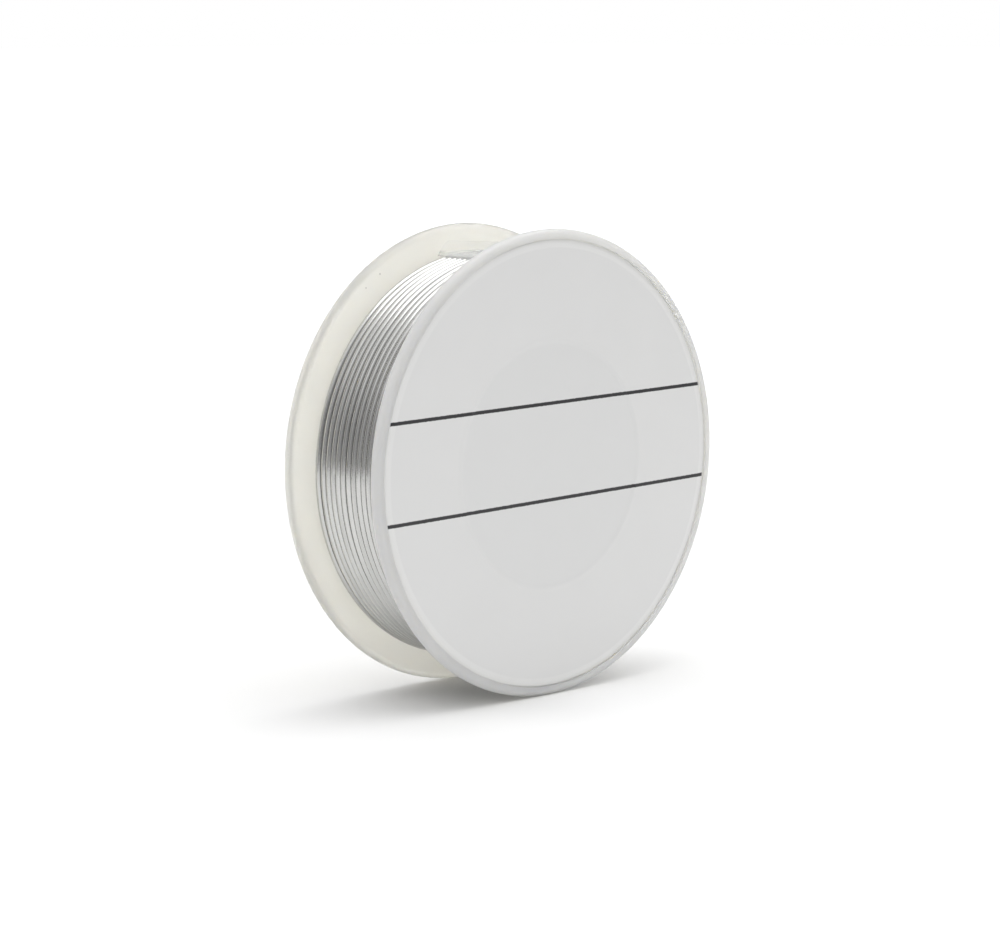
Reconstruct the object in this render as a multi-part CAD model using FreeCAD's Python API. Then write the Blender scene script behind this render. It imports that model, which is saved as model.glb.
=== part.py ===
import FreeCAD, Part
import math
import os

os.makedirs("parts", exist_ok=True)

# Solder wire spool. The spool's axis lies along Y and the labelled face looks
# towards -Y. The origin is the middle of the spool, on its axis, and +Z is up
# when the spool stands on its two rims. All sizes are in millimetres.

# Moulded spool
flange_diameter = 58.0
overall_width = 17.3
rim_thickness = 1.6
rim_rounding = 0.78
rim_land = 0.4
face_recess = 0.25
hub_diameter = 33.8
bore_diameter = 30.8
bore_lead_in = 0.3

# Snap joint between the hub and the front flange
spigot_diameter = 32.2
press_gap = 0.02
snap_chamfer = 0.4
snap_length = 0.7
snap_clearance = 0.05
key_count = 3
key_angle = 10.0
key_reach = 0.35
key_gap_angle = 0.3

# Paper label
label_thickness = 0.1
label_edge_gap = 0.1

# Solder wire and its winding
wire_diameter = 0.9
winding_below_rim = 3.35
flange_side_gap = 0.1
hub_seat_gap = 0.02
least_turn_gap = 0.02
layer_gap = 0.005
turn_web = 0.3
top_turn_facets = 6
hidden_turn_facets = 3

# Outer end of the wire, which lies on the finished winding
tail_from_angle = -70.0
tail_to_angle = 50.0
flux_core_diameter = 0.3
flux_core_gap = 0.005

# Inner end of the wire, which leaves through a slot in the rear flange
start_angle = 60.0
slot_width = 1.2
slot_clearance = 0.1
start_inside_bend = 0.1
start_free_length = 5.0
channel_clearance = 0.05

# Clear tape that holds the outer end of the wire
tape_thickness = 0.08
tape_side_gap = 0.25
tape_gap = 0.02
tape_from_angle = 20.0
tape_ramp_angle = 10.0
tape_to_angle = 101.0
tab_lean_angle = 4.6
tab_below_rim = 0.5

# Derived radii and planes
flange_radius = flange_diameter / 2
hub_radius = hub_diameter / 2
bore_radius = bore_diameter / 2
spigot_radius = spigot_diameter / 2
wire_radius = wire_diameter / 2
outer_plane = overall_width / 2
inner_plane = outer_plane - rim_thickness
floor_plane = outer_plane - face_recess
rim_inner_radius = flange_radius - rim_rounding - rim_land
flange_hole_radius = spigot_radius + press_gap
key_radius = spigot_radius + key_reach

# Derived winding: whole turns side by side, and each layer of turns lying in
# the grooves of the layer below, so every second layer has one turn fewer
winding_width = 2 * inner_plane - 2 * flange_side_gap
turns_per_layer = int(winding_width / (wire_diameter + least_turn_gap))
turn_pitch = winding_width / turns_per_layer
layer_step = math.sqrt((wire_diameter + layer_gap) ** 2 - (turn_pitch / 2) ** 2)
first_layer_radius = hub_radius + hub_seat_gap + wire_radius
highest_layer_radius = flange_radius - winding_below_rim - wire_radius
layer_count = int((highest_layer_radius - first_layer_radius) / layer_step) + 1
top_layer_radius = first_layer_radius + (layer_count - 1) * layer_step
tail_radius = top_layer_radius + layer_step

axis_point = FreeCAD.Vector(0, 0, 0)
# Turning about this direction carries +X towards +Z
axis_direction = FreeCAD.Vector(0, -1, 0)


def save(shape, node):
    """Write one sub-part as a STEP file named after its node."""
    shape.exportStep("parts/" + node + ".step")


def at(radius, y):
    """Point of a cross-section that is drawn in the half plane of +X."""
    return FreeCAD.Vector(radius, y, 0)


def around(shape, angle):
    """Turn a shape about the spool's axis, from +X towards +Z, in degrees."""
    turned = shape.copy()
    turned.rotate(axis_point, axis_direction, angle)
    return turned


def corner_arc(before, corner, after, rounding):
    """Tangent arc that rounds one corner of a cross-section."""
    back = (before - corner).normalize()
    ahead = (after - corner).normalize()
    half_angle = back.getAngle(ahead) / 2
    middle = (back + ahead).normalize()
    centre = corner + middle * (rounding / math.sin(half_angle))
    reach = rounding / math.tan(half_angle)
    return Part.Arc(corner + back * reach, centre - middle * rounding, corner + ahead * reach)


def section(points):
    """Closed face through (radius, y, rounding) points."""
    corners = [at(radius, y) for radius, y, rounding in points]
    arcs = []
    for index, (radius, y, rounding) in enumerate(points):
        if rounding > 0:
            before = corners[index - 1]
            after = corners[(index + 1) % len(corners)]
            arcs.append(corner_arc(before, corners[index], after, rounding).toShape())
        else:
            arcs.append(None)
    edges = []
    for index, corner in enumerate(corners):
        following = (index + 1) % len(corners)
        start = arcs[index].Vertexes[-1].Point if arcs[index] else corner
        end = arcs[following].Vertexes[0].Point if arcs[following] else corners[following]
        if arcs[index]:
            edges.append(arcs[index])
        edges.append(Part.LineSegment(start, end).toShape())
    return Part.Face(Part.Wire(edges))


def turned(face, angle=360.0):
    """Solid swept by a cross-section about the spool's axis."""
    return face.revolve(axis_point, axis_direction, angle)


def ring_sector(inner_radius, outer_radius, low_y, high_y, middle_angle, angle):
    """Block between two radii and two planes, over part of the circle."""
    face = section([
        (inner_radius, low_y, 0),
        (outer_radius, low_y, 0),
        (outer_radius, high_y, 0),
        (inner_radius, high_y, 0),
    ])
    return around(turned(face, angle), middle_angle - angle / 2)


def key_angles():
    """Directions of the keys that stop the front flange turning on the hub."""
    return [index * 360.0 / key_count for index in range(key_count)]


def hub_and_rear_flange():
    """Rear flange and hub in one moulding, with a spigot for the front flange."""
    snap_height = snap_chamfer / 2 - snap_clearance
    body = turned(section([
        (bore_radius, -floor_plane, 0),
        (spigot_radius, -floor_plane, 0),
        (spigot_radius + snap_height, -floor_plane + snap_length / 2, 0),
        (spigot_radius, -floor_plane + snap_length, 0),
        (spigot_radius, -inner_plane, 0),
        (hub_radius, -inner_plane, 0),
        (hub_radius, inner_plane, 0),
        (flange_radius, inner_plane, rim_rounding),
        (flange_radius, outer_plane, rim_rounding),
        (rim_inner_radius, outer_plane, 0),
        (rim_inner_radius, floor_plane, 0),
        (bore_radius + bore_lead_in, floor_plane, 0),
        (bore_radius, floor_plane - bore_lead_in, 0),
    ]))
    for angle in key_angles():
        key = ring_sector(
            (bore_radius + spigot_radius) / 2, key_radius,
            -floor_plane + snap_length, -inner_plane, angle, key_angle)
        body = body.fuse(key)
    for cutter in start_cutters():
        body = body.cut(cutter)
    return body.removeSplitter()


def front_flange():
    """Flange with the labelled face, pressed over the hub's spigot."""
    body = turned(section([
        (flange_hole_radius, -inner_plane, 0),
        (flange_hole_radius, -floor_plane + snap_length, 0),
        (flange_hole_radius + snap_chamfer, -floor_plane, 0),
        (rim_inner_radius, -floor_plane, 0),
        (rim_inner_radius, -outer_plane, 0),
        (flange_radius, -outer_plane, rim_rounding),
        (flange_radius, -inner_plane, rim_rounding),
    ]))
    for angle in key_angles():
        notch = ring_sector(
            spigot_radius - press_gap, key_radius + press_gap,
            -outer_plane, -inner_plane + press_gap, angle, key_angle + 2 * key_gap_angle)
        body = body.cut(notch)
    return body.removeSplitter()


def front_label():
    """Paper disc stuck in the front recess, across the opening of the hub."""
    return turned(section([
        (0, -floor_plane - label_thickness, 0),
        (rim_inner_radius - label_edge_gap, -floor_plane - label_thickness, 0),
        (rim_inner_radius - label_edge_gap, -floor_plane, 0),
        (0, -floor_plane, 0),
    ]))


def turns_in_layer(number):
    """Turns side by side in one layer, counted from the hub."""
    return turns_per_layer - (number + 1) % 2


def turn_position(number, turn):
    """Place of one turn along the axis."""
    return (turn - (turns_in_layer(number) - 1) / 2) * turn_pitch


def turn_facets(number):
    """Flat facets on each side of a turn: finer on the layer that can be seen."""
    return top_turn_facets if number == layer_count else hidden_turn_facets


def turn_side(radius, y, side, facets):
    """Points round the outer (side 1) or inner (side -1) half of one turn."""
    web_angle = math.asin(turn_web / 2 / wire_radius)
    step = (math.pi - 2 * web_angle) / facets
    points = []
    for index in range(facets + 1):
        angle = web_angle + index * step
        rise = side * wire_radius * math.sin(angle)
        points.append((radius + rise, y - side * wire_radius * math.cos(angle), 0))
    return points


def wire_layer(number):
    """One layer of turns, joined by a thin web so that it is one closed solid."""
    radius = first_layer_radius + (number - 1) * layer_step
    places = [turn_position(number, turn) for turn in range(turns_in_layer(number))]
    outline = []
    for y in places:
        outline.extend(turn_side(radius, y, 1, turn_facets(number)))
    outline.append((radius, places[-1] + wire_radius, 0))
    for y in reversed(places):
        outline.extend(turn_side(radius, y, -1, hidden_turn_facets))
    outline.append((radius, places[0] - wire_radius, 0))
    return turned(section(outline))


def tail_place():
    """Groove of the top layer that the outer end of the wire lies in."""
    groove = turns_in_layer(layer_count) // 2 + 1
    return turn_position(layer_count, groove) + turn_pitch / 2


def disc_at(radius, y, disc_radius):
    """Round face of wire, across the direction in which the wire is wound."""
    circle = Part.Circle(at(radius, y), FreeCAD.Vector(0, 0, 1), disc_radius)
    return Part.Face(Part.Wire([circle.toShape()]))


def wire_outer_end():
    """Last stretch of wire, hollow where the flux runs through it."""
    ring = disc_at(tail_radius, tail_place(), wire_radius)
    ring = ring.cut(disc_at(tail_radius, tail_place(), flux_core_diameter / 2))
    return around(turned(ring, tail_to_angle - tail_from_angle), tail_from_angle).Solids[0]


def flux_core():
    """Flux inside the last stretch of wire."""
    core = disc_at(tail_radius, tail_place(), flux_core_diameter / 2 - flux_core_gap)
    return around(turned(core, tail_to_angle - tail_from_angle), tail_from_angle)


# Places of the wire's inner end: along the axis through the slot, then out in
# a channel that is sunk into the rear face
slot_inner_radius = hub_radius + slot_clearance
start_radius = slot_inner_radius + slot_clearance + wire_radius
start_bend_radius = wire_radius + start_inside_bend
slot_outer_radius = start_radius + start_bend_radius + slot_clearance
start_end_radius = start_radius + start_bend_radius + start_free_length
start_plane = floor_plane - channel_clearance - wire_radius
channel_floor = start_plane - wire_radius - channel_clearance


def start_cutters():
    """Slot through the rear flange and the channel for the wire's inner end."""
    slot_low = inner_plane - slot_clearance
    slot = Part.makeBox(
        slot_outer_radius - slot_inner_radius, outer_plane - slot_low,
        slot_width, FreeCAD.Vector(slot_inner_radius, slot_low, -slot_width / 2))
    channel = Part.makeBox(
        start_end_radius + slot_clearance - slot_inner_radius, outer_plane - channel_floor,
        slot_width, FreeCAD.Vector(slot_inner_radius, channel_floor, -slot_width / 2))
    return [around(slot, start_angle), around(channel, start_angle)]


def wire_inner_end():
    """First stretch of wire: through the slot, one bend, and out in the channel."""
    bend_centre = at(start_radius + start_bend_radius, start_plane - start_bend_radius)
    through = Part.makeCylinder(
        wire_radius, bend_centre.y - inner_plane,
        at(start_radius, inner_plane), FreeCAD.Vector(0, 1, 0))
    circle = Part.Circle(at(start_radius, bend_centre.y), FreeCAD.Vector(0, 1, 0), wire_radius)
    bend = Part.Face(Part.Wire([circle.toShape()])).revolve(
        bend_centre, FreeCAD.Vector(0, 0, -1), 90)
    outward = Part.makeCylinder(
        wire_radius, start_free_length,
        at(bend_centre.x, start_plane), FreeCAD.Vector(1, 0, 0))
    wire = through.fuse([bend, outward]).removeSplitter()
    return around(wire, start_angle)


def polar(radius, angle, y):
    """Point at an angle from +X towards +Z."""
    turn = math.radians(angle)
    return FreeCAD.Vector(radius * math.cos(turn), y, radius * math.sin(turn))


def polar_arc(radius, from_angle, to_angle, y):
    """Arc about the spool's axis."""
    middle_angle = (from_angle + to_angle) / 2
    return Part.Arc(
        polar(radius, from_angle, y), polar(radius, middle_angle, y),
        polar(radius, to_angle, y)).toShape()


def straight(start, end):
    """Straight edge between two points."""
    return Part.LineSegment(start, end).toShape()


def wire_end_tape():
    """Clear tape over the wire's outer end, with a pull tab that stands up."""
    half_width = inner_plane - tape_side_gap
    y = -half_width
    high = tail_radius + wire_radius + tape_gap
    low = top_layer_radius + wire_radius + tape_gap
    high_top = high + tape_thickness
    low_top = low + tape_thickness
    ramp_end = tail_to_angle + tape_ramp_angle
    thin_angle = math.degrees(tape_thickness / low)
    tab_radius = flange_radius - tab_below_rim
    tab_angle = tape_to_angle - tab_lean_angle
    tab_tip = polar(tab_radius, tab_angle, y)
    tab_back = polar(tab_radius, tab_angle - thin_angle, y)
    outline = Part.Wire([
        polar_arc(high, tape_from_angle, tail_to_angle, y),
        straight(polar(high, tail_to_angle, y), polar(low, ramp_end, y)),
        polar_arc(low, ramp_end, tape_to_angle, y),
        straight(polar(low, tape_to_angle, y), tab_tip),
        straight(tab_tip, tab_back),
        straight(tab_back, polar(low_top, tape_to_angle - thin_angle, y)),
        polar_arc(low_top, tape_to_angle - thin_angle, ramp_end, y),
        straight(polar(low_top, ramp_end, y), polar(high_top, tail_to_angle, y)),
        polar_arc(high_top, tail_to_angle, tape_from_angle, y),
        straight(polar(high_top, tape_from_angle, y), polar(high, tape_from_angle, y)),
    ])
    return Part.Face(outline).extrude(FreeCAD.Vector(0, 2 * half_width, 0))


save(hub_and_rear_flange(), "hub_and_rear_flange")
save(front_flange(), "front_flange")
save(front_label(), "front_label")
for layer_number in range(1, layer_count + 1):
    save(wire_layer(layer_number), "wire_layer_{:02d}".format(layer_number))
save(wire_inner_end(), "wire_inner_end")
save(wire_outer_end(), "wire_outer_end")
save(flux_core(), "flux_core")
save(wire_end_tape(), "wire_end_tape")

print("layers", layer_count, "turns", turns_per_layer)
print("pitch", round(turn_pitch, 4), "winding diameter", round(2 * (top_layer_radius + wire_radius), 3))
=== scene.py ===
import math

import bpy
from mathutils import Matrix, Vector, noise


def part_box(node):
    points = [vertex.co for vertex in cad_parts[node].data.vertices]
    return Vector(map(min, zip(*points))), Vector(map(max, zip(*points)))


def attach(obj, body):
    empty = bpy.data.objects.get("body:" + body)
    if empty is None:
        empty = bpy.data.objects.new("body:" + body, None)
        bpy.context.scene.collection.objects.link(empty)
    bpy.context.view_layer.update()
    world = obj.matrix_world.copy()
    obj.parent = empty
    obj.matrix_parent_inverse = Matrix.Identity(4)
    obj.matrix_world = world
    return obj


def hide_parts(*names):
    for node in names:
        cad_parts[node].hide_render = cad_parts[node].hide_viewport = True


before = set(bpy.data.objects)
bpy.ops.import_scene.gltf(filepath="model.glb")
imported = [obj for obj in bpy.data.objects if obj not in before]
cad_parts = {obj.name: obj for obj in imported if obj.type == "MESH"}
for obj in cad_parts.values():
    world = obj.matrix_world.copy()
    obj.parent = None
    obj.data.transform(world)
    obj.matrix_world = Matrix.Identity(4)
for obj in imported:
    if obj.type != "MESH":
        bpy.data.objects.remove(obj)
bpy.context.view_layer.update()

# The spool's axis lies along Y, the labelled face looks towards -Y and +Z is up.
# Lengths are in metres, and mm turns millimetres into metres.
mm = 0.001


def corners(node):
    """Lowest and highest corner of a node."""
    low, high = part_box(node)
    return Vector(low), Vector(high)


# Sizes that come from the frame
flange_low, flange_high = corners("front_flange")
label_low, label_high = corners("front_label")
winding_high = corners("wire_layer_11")[1]
below_high = corners("wire_layer_10")[1]
tail_low, tail_high = corners("wire_outer_end")
tape_high = corners("wire_end_tape")[1]

flange_radius = flange_high.x
floor_height = flange_low.z
label_radius = label_high.x
label_front = label_low.y
label_back = label_high.y
winding_radius = winding_high.x
wire_radius = (tail_high.y - tail_low.y) / 2
top_layer_radius = winding_radius - wire_radius
layer_below_radius = below_high.x - wire_radius
tail_radius = tail_high.x - wire_radius
tail_place = (tail_high.y + tail_low.y) / 2

# Layers of wire under the top one, which keep their solids
layers_below_top = 10

# Camera, found by fitting the two flanges' outlines in the photograph
camera_azimuth = math.radians(-43.74)
camera_elevation = math.radians(7.91)
camera_distance = 14.21 * flange_radius
camera_shift_right = -0.0182 * flange_radius
camera_shift_up = -0.0521 * flange_radius
focal_pixels = 3289.0
picture_width = 1000
sensor_width = 36.0
nearest_seen = 0.01
farthest_seen = 50.0

# World's light and the softbox
world_light_front = 0.67
world_light_behind = 1.0
softbox_size = 0.74
softbox_power = 2.25
softbox_place = (0.14, -0.04, 0.62)

# Wall that only shows in shine: dim low down, and dimmer in front and behind than at the sides
wall_distance = 0.25
wall_height = 0.28
wall_sides = 96
wall_fade_from = 0.04
wall_fade_to = 0.24
wall_dark = 0.42
wall_light = 1.0
wall_front_share = 0.4
wall_front_from = -0.24
wall_front_to = -0.04
wall_rear_share = 0.55
wall_rear_from = 0.0
wall_rear_to = 0.2

# Floor: it glows less in an oval patch under the spool, which is a painted shadow, and more far away
floor_reach = 6.0
floor_colour = (0.83, 0.83, 0.83, 1.0)
floor_roughness = 0.9
floor_glow = 0.14
floor_shade_centre = -0.007
floor_shade_length = 0.0163
floor_shade_width = 0.0254
floor_far_glow = 0.6
floor_far_from = 0.1
floor_far_to = 1.0

# Ranges of noise that carry a whole change of tint or roughness
usual_noise = (0.3, 0.7)
scuff_noise = (0.35, 0.75)
patch_noise = (0.35, 0.7)
drawn_line_noise = (0.5, 0.8)

# Plastic of the two mouldings. Scales of stretched noise are round the axis, out from it
# and along it. A speck is its place and its radius, in millimetres.
rear_see_through = 0.70
rear_roughness = 0.41
rear_tints = ((0.985, 0.970, 0.895, 1.0), (0.985, 0.963, 0.88, 1.0))
front_see_through = 0.3
front_roughness = 0.30
front_tints = ((0.975, 0.966, 0.895, 1.0), (0.975, 0.96, 0.875, 1.0))
plastic_cloud_scale = 90.0
plastic_cloud_detail = 3.0
plastic_relief = 0.02 * mm
plastic_relief_strength = 0.3
plastic_refraction = 1.5
scuff_scales = (6.0, 900.0, 200.0)
scuff_roughness = 0.12
light_travel = 4.0 * mm
light_travel_colour = (1.0, 0.97, 0.86)
specks = ((-14.39, 7.05, 23.40, 0.16), (-16.69, 7.05, 21.81, 0.14))
speck_colour = (0.25, 0.24, 0.22, 1.0)
speck_strength = 0.7
speck_core_share = 0.4

# Label paper and its two printed lines
fibre_scale = 2600.0
fibre_detail = 3.0
fibre_relief = 0.004 * mm
fibre_relief_strength = 0.4
paper_cloud_scale = 110.0
paper_tints = ((0.76, 0.76, 0.755, 1.0), (0.785, 0.785, 0.78, 1.0))
paper_roughness = (0.30, 0.38)
# Painted shade: the paper is darker over the hub's hollow opening behind it
unbacked_painted_shade_tint = (0.735, 0.738, 0.735, 1.0)
unbacked_painted_shade_share = 0.5
# Painted light: a lighter band of paper at the label's edge
edge_band_painted_light_tint = (0.88, 0.88, 0.87, 1.0)
edge_band_painted_light_share = 0.4
edge_band_painted_light_blur = 0.15 * mm
ink_tint = (0.028, 0.028, 0.030, 1.0)
line_half_width = 0.22 * mm
line_blur = 0.04 * mm
line_raggedness = 0.10 * mm
upper_line_left = (-26.78 * mm, 7.19 * mm)
upper_line_right = (26.57 * mm, 7.96 * mm)
lower_line_left = (-26.98 * mm, -4.98 * mm)
lower_line_right = (27.49 * mm, -3.90 * mm)
print_fades_from = 0.03 * mm
print_fades_to = 0.01 * mm

# Solder
solder_tints = ((0.63, 0.63, 0.62, 1.0), (0.555, 0.555, 0.545, 1.0))
solder_roughness = (0.18, 0.24)
patch_scales = (2.0, 900.0, 900.0)
drawn_line_scales = (3.0, 5000.0, 5000.0)
drawn_line_tint = (0.50, 0.50, 0.50, 1.0)
drawn_line_share = 0.25
# Painted shade: the solder is darker below its crest, in the grooves between turns
groove_shade_tint = (0.30, 0.30, 0.29, 1.0)
groove_shade_share = 0.6
groove_shade_below_crest = 0.08 * mm

# Flux
flux_grain_scale = 3000.0
flux_tints = ((0.62, 0.36, 0.10, 1.0), (0.76, 0.52, 0.20, 1.0))
flux_roughness = 0.3

# Tape's film: how much it covers where it is glued down and where it is lifted
tape_cloud_scale = 240.0
tape_cloud_detail = 3.0
tape_tints = ((0.86, 0.875, 0.86, 1.0), (0.90, 0.91, 0.90, 1.0))
tape_roughness = (0.20, 0.34)
glued_below = 0.25 * mm
lifted_above = 0.7 * mm
glued_cover = 0.34
lifted_cover = 0.05

# Shading: faces of the solids, and of the wire's mesh, that meet at less than this look smooth
solid_smooth_angle = math.radians(25.0)
wire_smooth_angle = math.radians(50.0)

# Label's shape. Radii and the span of close rings over the hub's edge are in millimetres. The
# profile gives shares of the edge band's width and of its drop.
hub_opening_radius = 15.4 * mm
ring_width = 0.3 * mm
ring_depth = 0.08 * mm
opening_sink_share = 0.7
ring_ridge_share = 0.8
label_inner_radii = (3.0, 6.0, 9.0, 12.0)
label_outer_radii = (18.0, 20.0, 22.0, 24.0, 25.5)
close_ring_span = 2.4
close_ring_steps = 12
edge_band_width = 1.0 * mm
edge_band_drop = 0.09 * mm
edge_band_profile = ((-0.08, 0.0), (0.0, 0.02), (0.08, 0.08), (0.5, 0.5), (0.97, 0.97), (1.0, 1.2))
label_segments = 240
paper_waver = 0.004 * mm
paper_waver_spread = 6.0

# Top layer: turns side by side that each step over on the -X side, counted from the label's end.
# The last turn's place is its middle after its step. Each loose turn has some room, and lies
# against the turn behind it on one side and against the turn before it on the other. The wire
# comes up from the layer below over the sink angle.
turns_in_top_layer = 15
last_turn_place = 6.39 * mm
sink_angle = math.radians(60.0)
step_over_from = math.radians(82.0)
step_over_to = math.radians(212.0)
loose_turns = (9, 14)
loose_room = 0.14 * mm
loose_back_side = math.radians(78.0)
loose_sharpness = 3.0
radius_waver = 0.02 * mm
waver_round = 1.6
waver_between_turns = 1.7
wire_steps_per_turn = 180
wire_sides = 20

# Outer end of the wire, which climbs onto the top layer and settles in one of its grooves
tail_from_angle = math.radians(-70.0)
tail_to_angle = math.radians(50.0)
crossing_angle = math.radians(36.0)
crossing_lift = 1.01
crossing_climb_share = 0.4
crossing_settles_from = 0.8
crossing_settles_over = 0.2
flux_hole_radius = 0.15 * mm
flux_hole_depth = 0.5 * mm

# Tape's shape
tape_from_angle = math.radians(20.0)
tape_to_angle = math.radians(101.0)
tape_ramp_angle = math.radians(10.0)
tape_gap = 0.06 * mm
tape_sag = 0.015 * mm
tape_thickness = 0.05 * mm
tape_bulge_width = 1.5 * mm
tape_columns = 120
tape_rows = 60
tab_rows = 14
tab_length = 2.6 * mm
tab_lean = math.radians(28.0)
tab_curl = 0.35
tab_twist = 0.12
tab_rounding = 0.03
tab_sag_share = 0.25


def unit_circle(angle):
    """Direction at an angle about the spool's axis, from +X towards +Z."""
    return Vector((math.cos(angle), 0.0, math.sin(angle)))


def link(obj):
    """Put an object into the scene."""
    bpy.context.scene.collection.objects.link(obj)
    return obj


def mesh_object(name, vertices, faces, material, smooth=True):
    """Object from plain lists of vertices and faces."""
    mesh = bpy.data.meshes.new(name)
    mesh.from_pydata(vertices, [], faces)
    mesh.validate()
    if smooth:
        mesh.shade_smooth()
    mesh.materials.append(material)
    return link(bpy.data.objects.new(name, mesh))


def make_camera():
    """Camera where the photograph was taken from."""
    back = Vector((
        math.sin(camera_azimuth) * math.cos(camera_elevation),
        -math.cos(camera_azimuth) * math.cos(camera_elevation),
        math.sin(camera_elevation)))
    right = Vector((math.cos(camera_azimuth), math.sin(camera_azimuth), 0.0))
    up = back.cross(right)
    place = back * camera_distance + right * camera_shift_right + up * camera_shift_up
    data = bpy.data.cameras.new("camera")
    data.sensor_width = sensor_width
    data.lens = sensor_width * focal_pixels / picture_width
    data.clip_start = nearest_seen
    data.clip_end = farthest_seen
    camera = link(bpy.data.objects.new("camera", data))
    axes = Matrix((right, up, back)).transposed().to_4x4()
    camera.matrix_world = Matrix.Translation(place) @ axes
    bpy.context.scene.camera = camera


class Nodes:
    """Short hand for building one node material."""

    def __init__(self, name):
        self.material = bpy.data.materials.new(name)
        self.material.use_nodes = True
        self.tree = self.material.node_tree
        self.shader = self.tree.nodes["Principled BSDF"]
        self.output = self.tree.nodes["Material Output"]

    def add(self, kind, inputs=(), **settings):
        """Add a node, whose inputs are (socket, value or output socket) pairs."""
        node = self.tree.nodes.new(kind)
        for key, value in settings.items():
            setattr(node, key, value)
        for socket, value in inputs:
            self.feed(node.inputs[socket], value)
        return node

    def feed(self, socket, value):
        """Set a socket, or link another node's output to it."""
        if isinstance(value, bpy.types.NodeSocket):
            self.tree.links.new(value, socket)
        else:
            socket.default_value = value

    def math(self, operation, first, second=0.0):
        """Result of one arithmetic step."""
        node = self.add("ShaderNodeMath", [(0, first), (1, second)], operation=operation)
        return node.outputs[0]

    def scaled(self, value, low, high, to_low, to_high):
        """Value carried from one range to another, smoothly."""
        node = self.add(
            "ShaderNodeMapRange",
            [("Value", value), ("From Min", low), ("From Max", high),
             ("To Min", to_low), ("To Max", to_high)],
            interpolation_type="SMOOTHSTEP")
        return node.outputs["Result"]

    def place(self):
        """Place on the object, in metres, the same from every side."""
        return self.add("ShaderNodeTexCoord").outputs["Object"]

    def noise(self, vector, scale, detail=2.0):
        """Noise between 0 and 1."""
        node = self.add("ShaderNodeTexNoise", [("Vector", vector), ("Scale", scale), ("Detail", detail)])
        return node.outputs["Fac"]

    def mixed(self, factor, first, second):
        """Colour between two colours."""
        node = self.add("ShaderNodeMix", data_type="RGBA")
        self.feed(node.inputs["Factor"], factor)
        self.feed(node.inputs["A"], first)
        self.feed(node.inputs["B"], second)
        return node.outputs["Result"]

    def bump(self, height, distance, strength):
        """Relief on the shader's surface."""
        node = self.add(
            "ShaderNodeBump", [("Height", height), ("Distance", distance), ("Strength", strength)])
        self.feed(self.shader.inputs["Normal"], node.outputs["Normal"])

    def around_axis(self):
        """Angle about the spool's axis, distance from it, and place along it."""
        parts = self.add("ShaderNodeSeparateXYZ", [("Vector", self.place())])
        x = parts.outputs["X"]
        z = parts.outputs["Z"]
        angle = self.math("ARCTAN2", z, x)
        reach = self.math("SQRT", self.math("ADD", self.math("MULTIPLY", x, x), self.math("MULTIPLY", z, z)))
        return angle, reach, parts.outputs["Y"]

    def stretched_noise(self, around, scales):
        """Noise with a scale of its own round the axis, out from it and along it."""
        vector = self.add("ShaderNodeCombineXYZ", [
            (socket, self.math("MULTIPLY", value, scale))
            for socket, value, scale in zip("XYZ", around, scales)])
        return self.noise(vector.outputs["Vector"], 1.0)


def plastic_material(name, see_through, roughness, tints):
    """Milky, slightly see-through moulded plastic with faint flow marks, between two tints."""
    make = Nodes(name)
    place = make.place()
    cloud = make.noise(place, plastic_cloud_scale, plastic_cloud_detail)
    tint = make.mixed(make.scaled(cloud, *usual_noise, 0.0, 1.0), *tints)
    for x, y, z, radius in specks:
        distance = make.add(
            "ShaderNodeVectorMath", [(0, place), (1, (x * mm, y * mm, z * mm))], operation="DISTANCE")
        dark = make.scaled(
            distance.outputs["Value"], speck_core_share * radius * mm, radius * mm, speck_strength, 0.0)
        tint = make.mixed(dark, tint, speck_colour)
    make.feed(make.shader.inputs["Base Color"], tint)
    scuffs = make.stretched_noise(make.around_axis(), scuff_scales)
    make.feed(make.shader.inputs["Roughness"], make.scaled(
        scuffs, *scuff_noise, roughness, roughness + scuff_roughness))
    make.bump(cloud, plastic_relief, plastic_relief_strength)
    make.shader.inputs["Subsurface Weight"].default_value = 1.0
    make.shader.inputs["Subsurface Radius"].default_value = light_travel_colour
    make.shader.inputs["Subsurface Scale"].default_value = light_travel
    make.shader.inputs["Transmission Weight"].default_value = see_through
    make.shader.inputs["IOR"].default_value = plastic_refraction
    return make.material


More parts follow.
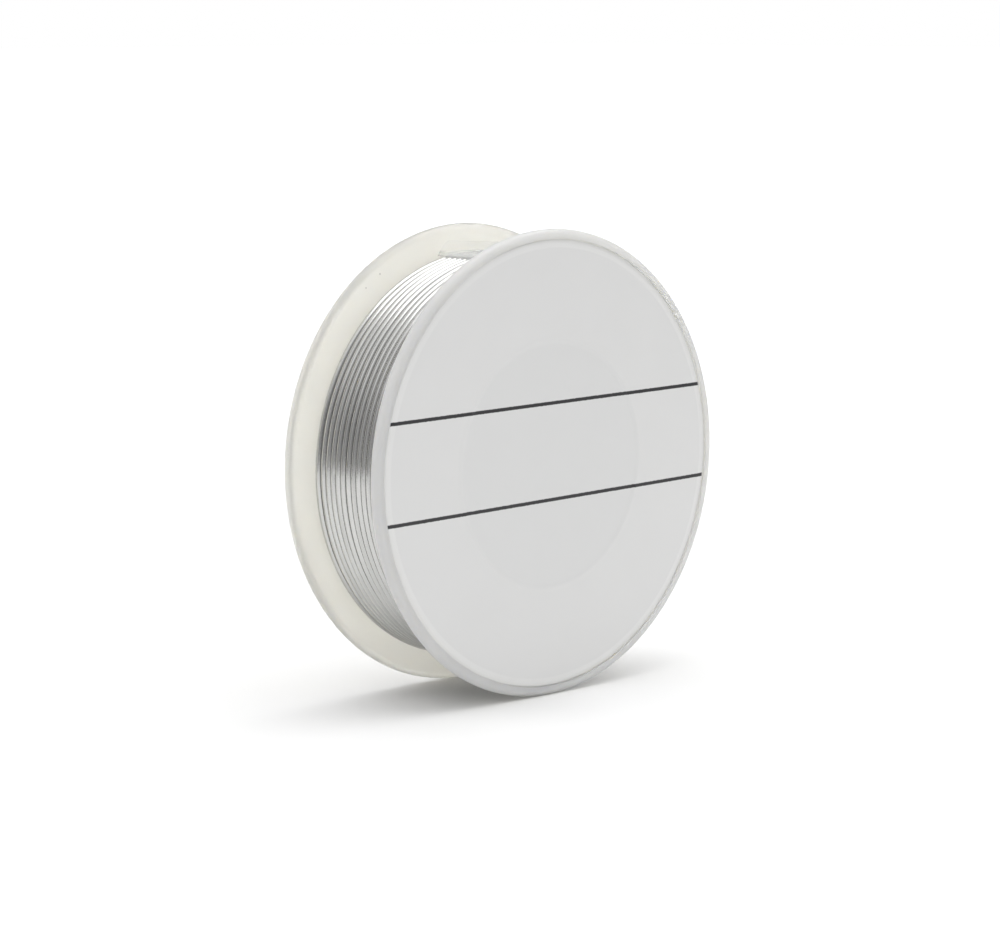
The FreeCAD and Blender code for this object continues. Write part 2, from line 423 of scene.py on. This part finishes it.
def label_material():
    """Coated white paper with two plain printed lines on its front, painted shade over the hub's opening and
    a painted lighter band at its edge.
    """
    make = Nodes("label_paper")
    place = make.place()
    parts = make.add("ShaderNodeSeparateXYZ", [("Vector", place)])
    fibres = make.noise(place, fibre_scale, fibre_detail)
    clouds = make.noise(place, paper_cloud_scale)
    paper = make.mixed(clouds, *paper_tints)
    _, reach, along = make.around_axis()
    # Painted shade: darker paper over the hub's opening
    painted_unbacked_shade = make.scaled(
        reach, hub_opening_radius - ring_width, hub_opening_radius + ring_width, unbacked_painted_shade_share, 0.0)
    paper = make.mixed(painted_unbacked_shade, paper, unbacked_painted_shade_tint)
    # Painted light: the paper is lighter in a band at its edge
    band_start = label_radius - edge_band_width
    painted_light_band = make.scaled(
        reach, band_start - edge_band_painted_light_blur, band_start + edge_band_painted_light_blur, 0.0, edge_band_painted_light_share)
    paper = make.mixed(painted_light_band, paper, edge_band_painted_light_tint)
    printed_side = make.scaled(
        along, label_back - print_fades_from, label_back - print_fades_to, 1.0, 0.0)
    for left, right in ((upper_line_left, upper_line_right), (lower_line_left, lower_line_right)):
        slope = (right[1] - left[1]) / (right[0] - left[0])
        level = make.math("MULTIPLY_ADD", parts.outputs["X"], slope)
        level.node.inputs[2].default_value = left[1] - slope * left[0]
        away = make.math("ABSOLUTE", make.math("SUBTRACT", parts.outputs["Z"], level))
        ragged = make.math("MULTIPLY_ADD", make.math("SUBTRACT", fibres, 0.5), line_raggedness)
        make.feed(ragged.node.inputs[2], away)
        ink = make.scaled(ragged, line_half_width - line_blur, line_half_width + line_blur, 1.0, 0.0)
        ink = make.math("MULTIPLY", ink, printed_side)
        paper = make.mixed(ink, paper, ink_tint)
    make.feed(make.shader.inputs["Base Color"], paper)
    make.feed(make.shader.inputs["Roughness"], make.scaled(fibres, *usual_noise, *paper_roughness))
    make.bump(fibres, fibre_relief, fibre_relief_strength)
    return make.material


def solder_material():
    """Bright drawn solder with long faint lines, duller stretches and painted shade in the grooves between
    turns.
    """
    make = Nodes("solder")
    around = make.around_axis()
    _, reach, _ = around
    lines = make.stretched_noise(around, drawn_line_scales)
    patches = make.stretched_noise(around, patch_scales)
    tone = make.mixed(make.scaled(patches, *patch_noise, 0.0, 1.0), *solder_tints)
    line_cover = make.scaled(lines, *drawn_line_noise, 0.0, drawn_line_share)
    tone = make.mixed(line_cover, tone, drawn_line_tint)
    # Painted shade in the grooves between turns
    groove_shade = make.scaled(
        reach, top_layer_radius, winding_radius - groove_shade_below_crest, groove_shade_share, 0.0)
    tone = make.mixed(groove_shade, tone, groove_shade_tint)
    make.feed(make.shader.inputs["Base Color"], tone)
    make.feed(make.shader.inputs["Roughness"], make.scaled(patches, *usual_noise, *solder_roughness))
    make.shader.inputs["Metallic"].default_value = 1.0
    return make.material


def flux_material():
    """Amber rosin."""
    make = Nodes("flux")
    grains = make.noise(make.place(), flux_grain_scale)
    make.feed(make.shader.inputs["Base Color"], make.mixed(grains, *flux_tints))
    make.shader.inputs["Roughness"].default_value = flux_roughness
    return make.material


def tape_material():
    """Clear film, cloudy where its glue holds it to the winding."""
    make = Nodes("clear_tape")
    cloud = make.noise(make.place(), tape_cloud_scale, tape_cloud_detail)
    make.feed(make.shader.inputs["Base Color"], make.mixed(cloud, *tape_tints))
    make.feed(make.shader.inputs["Roughness"], make.scaled(cloud, *usual_noise, *tape_roughness))
    _, reach, _ = make.around_axis()
    cover = make.scaled(
        reach, winding_radius + glued_below, winding_radius + lifted_above, glued_cover, lifted_cover)
    make.feed(make.shader.inputs["Alpha"], cover)
    return make.material


def smooth_by_angle():
    """Geometry nodes that shade smooth wherever faces meet at a small angle."""
    group = bpy.data.node_groups.new("smooth_by_angle", "GeometryNodeTree")
    group.interface.new_socket("Geometry", in_out="INPUT", socket_type="NodeSocketGeometry")
    group.interface.new_socket("Geometry", in_out="OUTPUT", socket_type="NodeSocketGeometry")
    entry = group.nodes.new("NodeGroupInput")
    leave = group.nodes.new("NodeGroupOutput")
    angle = group.nodes.new("GeometryNodeInputMeshEdgeAngle")
    small = group.nodes.new("FunctionNodeCompare")
    small.data_type = "FLOAT"
    small.operation = "LESS_THAN"
    small.inputs["B"].default_value = solid_smooth_angle
    faces = group.nodes.new("GeometryNodeSetShadeSmooth")
    faces.domain = "FACE"
    edges = group.nodes.new("GeometryNodeSetShadeSmooth")
    edges.domain = "EDGE"
    group.links.new(entry.outputs[0], faces.inputs["Geometry"])
    group.links.new(faces.outputs["Geometry"], edges.inputs["Geometry"])
    group.links.new(angle.outputs["Unsigned Angle"], small.inputs["A"])
    group.links.new(small.outputs["Result"], edges.inputs["Shade Smooth"])
    group.links.new(edges.outputs["Geometry"], leave.inputs[0])
    return group


def dress(node, material, smoothing):
    """Give a CAD node its material and smooth shading."""
    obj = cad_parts[node]
    obj.data.materials.clear()
    obj.data.materials.append(material)
    modifier = obj.modifiers.new("smooth", "NODES")
    modifier.node_group = smoothing


def label_profile():
    """Radius and set-back of the label's front: a step over the hub's opening, an eased edge."""
    radii = list(label_inner_radii)
    first_close_ring = hub_opening_radius / mm - close_ring_span / 2
    for index in range(close_ring_steps + 1):
        radii.append(first_close_ring + close_ring_span * index / close_ring_steps)
    radii.extend(label_outer_radii)
    points = []
    for radius in radii:
        offset = (radius * mm - hub_opening_radius) / ring_width
        edge = math.exp(-offset * offset)
        inside = 0.5 - 0.5 * math.tanh(offset)
        sink = ring_depth * (opening_sink_share * inside - ring_ridge_share * edge)
        points.append((radius * mm, sink))
    band_start = label_radius - edge_band_width
    for share, drop in edge_band_profile:
        points.append((band_start + edge_band_width * share, edge_band_drop * drop))
    return points


def make_label(material):
    """Round paper label, with the hub's opening showing as a faint ring."""
    segments = label_segments
    vertices = [(0.0, label_front, 0.0)]
    faces = []
    profile = label_profile()
    for radius, sink in profile:
        for index in range(segments):
            angle = 2 * math.pi * index / segments
            spot = Vector((math.cos(angle), math.sin(angle), radius / mm / paper_waver_spread))
            out = unit_circle(angle) * radius
            vertices.append((out.x, label_front + sink + paper_waver * noise.noise(spot), out.z))
    for index in range(segments):
        out = unit_circle(2 * math.pi * index / segments) * label_radius
        vertices.append((out.x, label_back, out.z))
    for index in range(segments):
        following = (index + 1) % segments
        faces.append((0, 1 + index, 1 + following))
        for ring in range(len(profile)):
            low = 1 + ring * segments
            faces.append((low + index, low + segments + index, low + segments + following, low + following))
    back_ring = 1 + len(profile) * segments
    faces.append([back_ring + index for index in reversed(range(segments))])
    label = mesh_object("label_disc", vertices, faces, material)
    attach(label, "root")
    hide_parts("front_label")


def smooth_step(value):
    """Ease from 0 to 1, held at both ends."""
    value = min(1.0, max(0.0, value))
    return value * value * (3 - 2 * value)


def turn_place(turn):
    """Place along the axis after a number of turns, counted from the first one's -X side."""
    full_turn = 2 * math.pi
    since_step = turn + 0.5 - step_over_from / full_turn
    part = (since_step % 1.0) * full_turn / (step_over_to - step_over_from)
    steps_made = math.floor(since_step) + smooth_step(part)
    place = last_turn_place - 2 * wire_radius * (turns_in_top_layer - steps_made)
    facing = math.cos(full_turn * turn - math.pi - loose_back_side)
    forward = 0.5 - 0.5 * math.tanh(loose_sharpness * facing)
    for loose in loose_turns:
        before = min(1.0, max(0.0, loose - steps_made))
        after = min(1.0, max(0.0, loose + 1 - steps_made))
        place -= loose_room * (before + (after - before) * forward)
    return place


def groove_place(angle):
    """Middle of the groove between two turns that is nearest the wire's outer end."""
    part = (angle / (2 * math.pi) + 0.5) % 1.0
    middles = [(turn_place(part + turn) + turn_place(part + turn + 1)) / 2
               for turn in range(turns_in_top_layer - 1)]
    return min(middles, key=lambda middle: abs(middle - tail_place))


def wire_route():
    """(angle, radius, place) along the wire: up from below, the top layer, across, the tail."""
    step_angle = 2 * math.pi / wire_steps_per_turn
    first_angle = step_over_to
    last_angle = tail_from_angle - crossing_angle + 2 * math.pi * turns_in_top_layer
    first_place = turn_place(first_angle / (2 * math.pi) - 0.5)
    route = []
    sink_steps = round(sink_angle / step_angle)
    for step in range(sink_steps, 0, -1):
        ease = smooth_step(step / sink_steps)
        radius = top_layer_radius + (layer_below_radius - top_layer_radius) * ease
        route.append((first_angle - step_angle * step, radius, first_place))
    for step in range(round((last_angle - first_angle) / step_angle) + 1):
        angle = first_angle + step_angle * step
        turn = angle / (2 * math.pi) - 0.5
        spot = Vector((
            math.cos(angle) * waver_round, math.sin(angle) * waver_round, turn * waver_between_turns))
        route.append((angle, top_layer_radius + radius_waver * noise.noise(spot), turn_place(turn)))
    crossing_steps = round(crossing_angle / step_angle)
    over_radius = top_layer_radius + 2 * wire_radius * crossing_lift
    for step in range(1, crossing_steps + 1):
        part = step / crossing_steps
        angle = last_angle + step_angle * step
        climb = smooth_step(part / crossing_climb_share)
        settle = smooth_step((part - crossing_settles_from) / crossing_settles_over)
        radius = top_layer_radius + (over_radius - top_layer_radius) * climb
        radius = radius + (tail_radius - radius) * settle
        place = last_turn_place + (groove_place(angle) - last_turn_place) * smooth_step(part)
        route.append((angle, radius, place))
    for step in range(1, round((tail_to_angle - tail_from_angle) / step_angle) + 1):
        angle = last_angle + crossing_angle + step_angle * step
        route.append((angle, tail_radius, groove_place(angle)))
    return route


def make_wire(material):
    """Top layer of turns and the outer end, as one continuous length of wire."""
    route = wire_route()
    centres = [unit_circle(angle) * radius + Vector((0.0, place, 0.0)) for angle, radius, place in route]
    vertices = []
    faces = []
    for index, centre in enumerate(centres):
        ahead = centres[min(index + 1, len(centres) - 1)] - centres[max(index - 1, 0)]
        ahead.normalize()
        outward = unit_circle(route[index][0])
        sideways = ahead.cross(outward).normalized()
        outward = sideways.cross(ahead).normalized()
        for side in range(wire_sides):
            turn = 2 * math.pi * side / wire_sides
            spoke = outward * math.cos(turn) + sideways * math.sin(turn)
            vertices.append(centre + spoke * wire_radius)
    for ring in range(len(centres) - 1):
        low = ring * wire_sides
        for side in range(wire_sides):
            following = (side + 1) % wire_sides
            faces.append((low + side, low + wire_sides + side, low + wire_sides + following, low + following))
    faces.append(list(range(wire_sides)))
    end_ring = (len(centres) - 1) * wire_sides
    ahead = (centres[-1] - centres[-2]).normalized()
    previous = end_ring
    for depth in (0.0, flux_hole_depth):
        base = len(vertices)
        for side in range(wire_sides):
            spoke = (vertices[end_ring + side] - centres[-1]).normalized()
            vertices.append(centres[-1] + spoke * flux_hole_radius - ahead * depth)
        for side in range(wire_sides):
            following = (side + 1) % wire_sides
            faces.append((previous + side, base + side, base + following, previous + following))
        previous = base
    faces.append([previous + side for side in reversed(range(wire_sides))])
    wire = mesh_object("wire_top_layer", [tuple(v) for v in vertices], faces, material)
    wire.data.set_sharp_from_angle(angle=wire_smooth_angle)
    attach(wire, "root")
    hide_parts("wire_layer_11", "wire_outer_end")


def make_tape(material):
    """Clear tape over the wire's outer end, with a lifted pull tab."""
    half_width = tape_high.y
    tail_bulge = tail_radius - top_layer_radius
    base = winding_radius + tape_gap
    rows = []
    for step in range(tape_rows + 1):
        rows.append((tape_from_angle + (tape_to_angle - tape_from_angle) * step / tape_rows, None))
    for step in range(1, tab_rows + 1):
        rows.append((tape_to_angle, step / tab_rows))
    vertices = []
    for angle, lift in rows:
        over_tail = 1.0 - smooth_step((angle - tail_to_angle) / tape_ramp_angle)
        sag = tape_sag if lift is None else tape_sag * (1.0 - smooth_step(lift / tab_sag_share))
        for column in range(tape_columns + 1):
            y = -half_width + 2 * half_width * column / tape_columns
            away = (y - tail_place) / tape_bulge_width
            radius = base + tail_bulge * math.exp(-away * away) * over_tail
            over_turns = math.cos(2 * math.pi * (y - last_turn_place) / (2 * wire_radius))
            radius += sag * (over_turns - 1)
            point = unit_circle(angle) * radius + Vector((0.0, y, 0.0))
            if lift is not None:
                outward = unit_circle(angle)
                backward = unit_circle(angle - math.pi / 2)
                share = y / half_width
                lean = tab_lean + tab_curl * lift + tab_twist * share
                reach = tab_length * lift * (1.0 - tab_rounding * share * share)
                point = point + outward * reach * math.cos(lean) + backward * reach * math.sin(lean)
            vertices.append(tuple(point))
    faces = []
    width = tape_columns + 1
    for row in range(len(rows) - 1):
        for column in range(tape_columns):
            low = row * width + column
            faces.append((low, low + 1, low + width + 1, low + width))
    tape = mesh_object("tape_film", vertices, faces, material)
    solid = tape.modifiers.new("thickness", "SOLIDIFY")
    solid.thickness = tape_thickness
    solid.offset = 0.0
    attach(tape, "root")
    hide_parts("wire_end_tape")


def background_rays(tree):
    """1 for rays that camera, gloss or glass follow to the background."""
    light_path = tree.nodes.new("ShaderNodeLightPath")
    total = light_path.outputs["Is Camera Ray"]
    for name in ("Is Glossy Ray", "Is Transmission Ray"):
        larger = tree.nodes.new("ShaderNodeMath")
        larger.operation = "MAXIMUM"
        tree.links.new(total, larger.inputs[0])
        tree.links.new(light_path.outputs[name], larger.inputs[1])
        total = larger.outputs[0]
    return total


def floor_material():
    """Matt white table top that keeps the object's shadow, has a painted shadow where it glows less under the
    spool, and fades to plain white.
    """
    make = Nodes("floor_white")
    make.shader.inputs["Base Color"].default_value = floor_colour
    make.shader.inputs["Roughness"].default_value = floor_roughness
    make.shader.inputs["Specular IOR Level"].default_value = 0.0
    # Painted shadow: the glow is less in an oval patch under the spool
    shade_centre = (floor_shade_centre, 0.0, 0.0)
    moved = make.add(
        "ShaderNodeVectorMath", [(0, make.place()), (1, shade_centre)], operation="SUBTRACT")
    shade_scale = (1 / floor_shade_length, 1 / floor_shade_width, 0.0)
    shaped = make.add(
        "ShaderNodeVectorMath", [(0, moved.outputs["Vector"]), (1, shade_scale)], operation="MULTIPLY")
    away = make.add("ShaderNodeVectorMath", [(0, shaped.outputs["Vector"])], operation="LENGTH")
    painted_shadow_glow = make.scaled(away.outputs["Value"], 0.0, 1.0, 0.0, floor_glow)
    distance = make.add("ShaderNodeVectorMath", [(0, make.place())], operation="LENGTH")
    far_glow = make.scaled(distance.outputs["Value"], floor_far_from, floor_far_to, 0.0, floor_far_glow)
    glow_level = make.math("ADD", painted_shadow_glow, far_glow)
    glow = make.add("ShaderNodeEmission", [("Strength", make.math(
        "MULTIPLY", background_rays(make.tree), glow_level))])
    total = make.add("ShaderNodeAddShader", [
        (0, make.shader.outputs["BSDF"]), (1, glow.outputs["Emission"])])
    make.feed(make.output.inputs["Surface"], total.outputs["Shader"])
    return make.material


def make_floor():
    """Wide white table top under the spool."""
    outline = [(-floor_reach, -floor_reach, floor_height), (floor_reach, -floor_reach, floor_height),
               (floor_reach, floor_reach, floor_height), (-floor_reach, floor_reach, floor_height)]
    floor = mesh_object("floor", outline, [(0, 1, 2, 3)], floor_material(), smooth=False)


def make_dim_wall():
    """Studio wall round the table, brightest high up and at the sides, which only shows in shine."""
    make = Nodes("dim_wall")
    parts = make.add("ShaderNodeSeparateXYZ", [("Vector", make.place())])
    upward = make.scaled(parts.outputs["Z"], wall_fade_from, wall_fade_to, wall_dark, wall_light)
    front = make.scaled(parts.outputs["Y"], wall_front_from, wall_front_to, wall_front_share, 1.0)
    rear = make.scaled(parts.outputs["Y"], wall_rear_from, wall_rear_to, 1.0, wall_rear_share)
    level = make.math("MULTIPLY", upward, make.math("MULTIPLY", front, rear))
    glow = make.add("ShaderNodeEmission", [("Strength", level)])
    make.feed(make.output.inputs["Surface"], glow.outputs["Emission"])
    vertices = []
    for level_height in (floor_height, wall_height):
        for index in range(wall_sides):
            out = unit_circle(2 * math.pi * index / wall_sides) * wall_distance
            vertices.append((out.x, out.z, level_height))
    faces = []
    for index in range(wall_sides):
        following = (index + 1) % wall_sides
        faces.append((index, following, wall_sides + following, wall_sides + index))
    wall = mesh_object("dim_wall", vertices, faces, make.material)
    wall.visible_camera = False
    wall.visible_diffuse = False
    wall.visible_shadow = False
    wall.visible_transmission = False


def make_world():
    """White background, and a plain soft light from all round, stronger from behind."""
    world = bpy.data.worlds.new("studio")
    bpy.context.scene.world = world
    world.use_nodes = True
    tree = world.node_tree
    background = tree.nodes["Background"]
    background.inputs["Color"].default_value = (1.0, 1.0, 1.0, 1.0)
    direction = tree.nodes.new("ShaderNodeTexCoord")
    parts = tree.nodes.new("ShaderNodeSeparateXYZ")
    tree.links.new(direction.outputs["Generated"], parts.inputs["Vector"])
    around = tree.nodes.new("ShaderNodeMapRange")
    around.inputs["From Min"].default_value = -1.0
    around.inputs["From Max"].default_value = 1.0
    around.inputs["To Min"].default_value = world_light_front
    around.inputs["To Max"].default_value = world_light_behind
    tree.links.new(parts.outputs["Y"], around.inputs["Value"])
    level = tree.nodes.new("ShaderNodeMapRange")
    tree.links.new(around.outputs["Result"], level.inputs["To Min"])
    level.inputs["To Max"].default_value = 1.0
    tree.links.new(background_rays(tree), level.inputs["Value"])
    tree.links.new(level.outputs["Result"], background.inputs["Strength"])


def make_softbox():
    """Large softbox close above the table, a little to the right."""
    data = bpy.data.lights.new("softbox", "AREA")
    data.shape = "RECTANGLE"
    data.size = softbox_size
    data.size_y = softbox_size
    data.energy = softbox_power
    softbox = link(bpy.data.objects.new("softbox", data))
    softbox.location = softbox_place
    softbox.rotation_euler = Vector(softbox_place).to_track_quat("Z", "Y").to_euler()


make_camera()
make_world()
make_softbox()
make_floor()
make_dim_wall()

rear_plastic = plastic_material("rear_plastic", rear_see_through, rear_roughness, rear_tints)
front_plastic = plastic_material("front_plastic", front_see_through, front_roughness, front_tints)
solder = solder_material()
smoothing = smooth_by_angle()
dress("hub_and_rear_flange", rear_plastic, smoothing)
dress("front_flange", front_plastic, smoothing)
for number in range(1, layers_below_top + 1):
    dress("wire_layer_{:02d}".format(number), solder, smoothing)
dress("wire_inner_end", solder, smoothing)
dress("flux_core", flux_material(), smoothing)
make_label(label_material())
make_wire(solder)
make_tape(tape_material())

bpy.context.scene.view_settings.view_transform = "Standard"
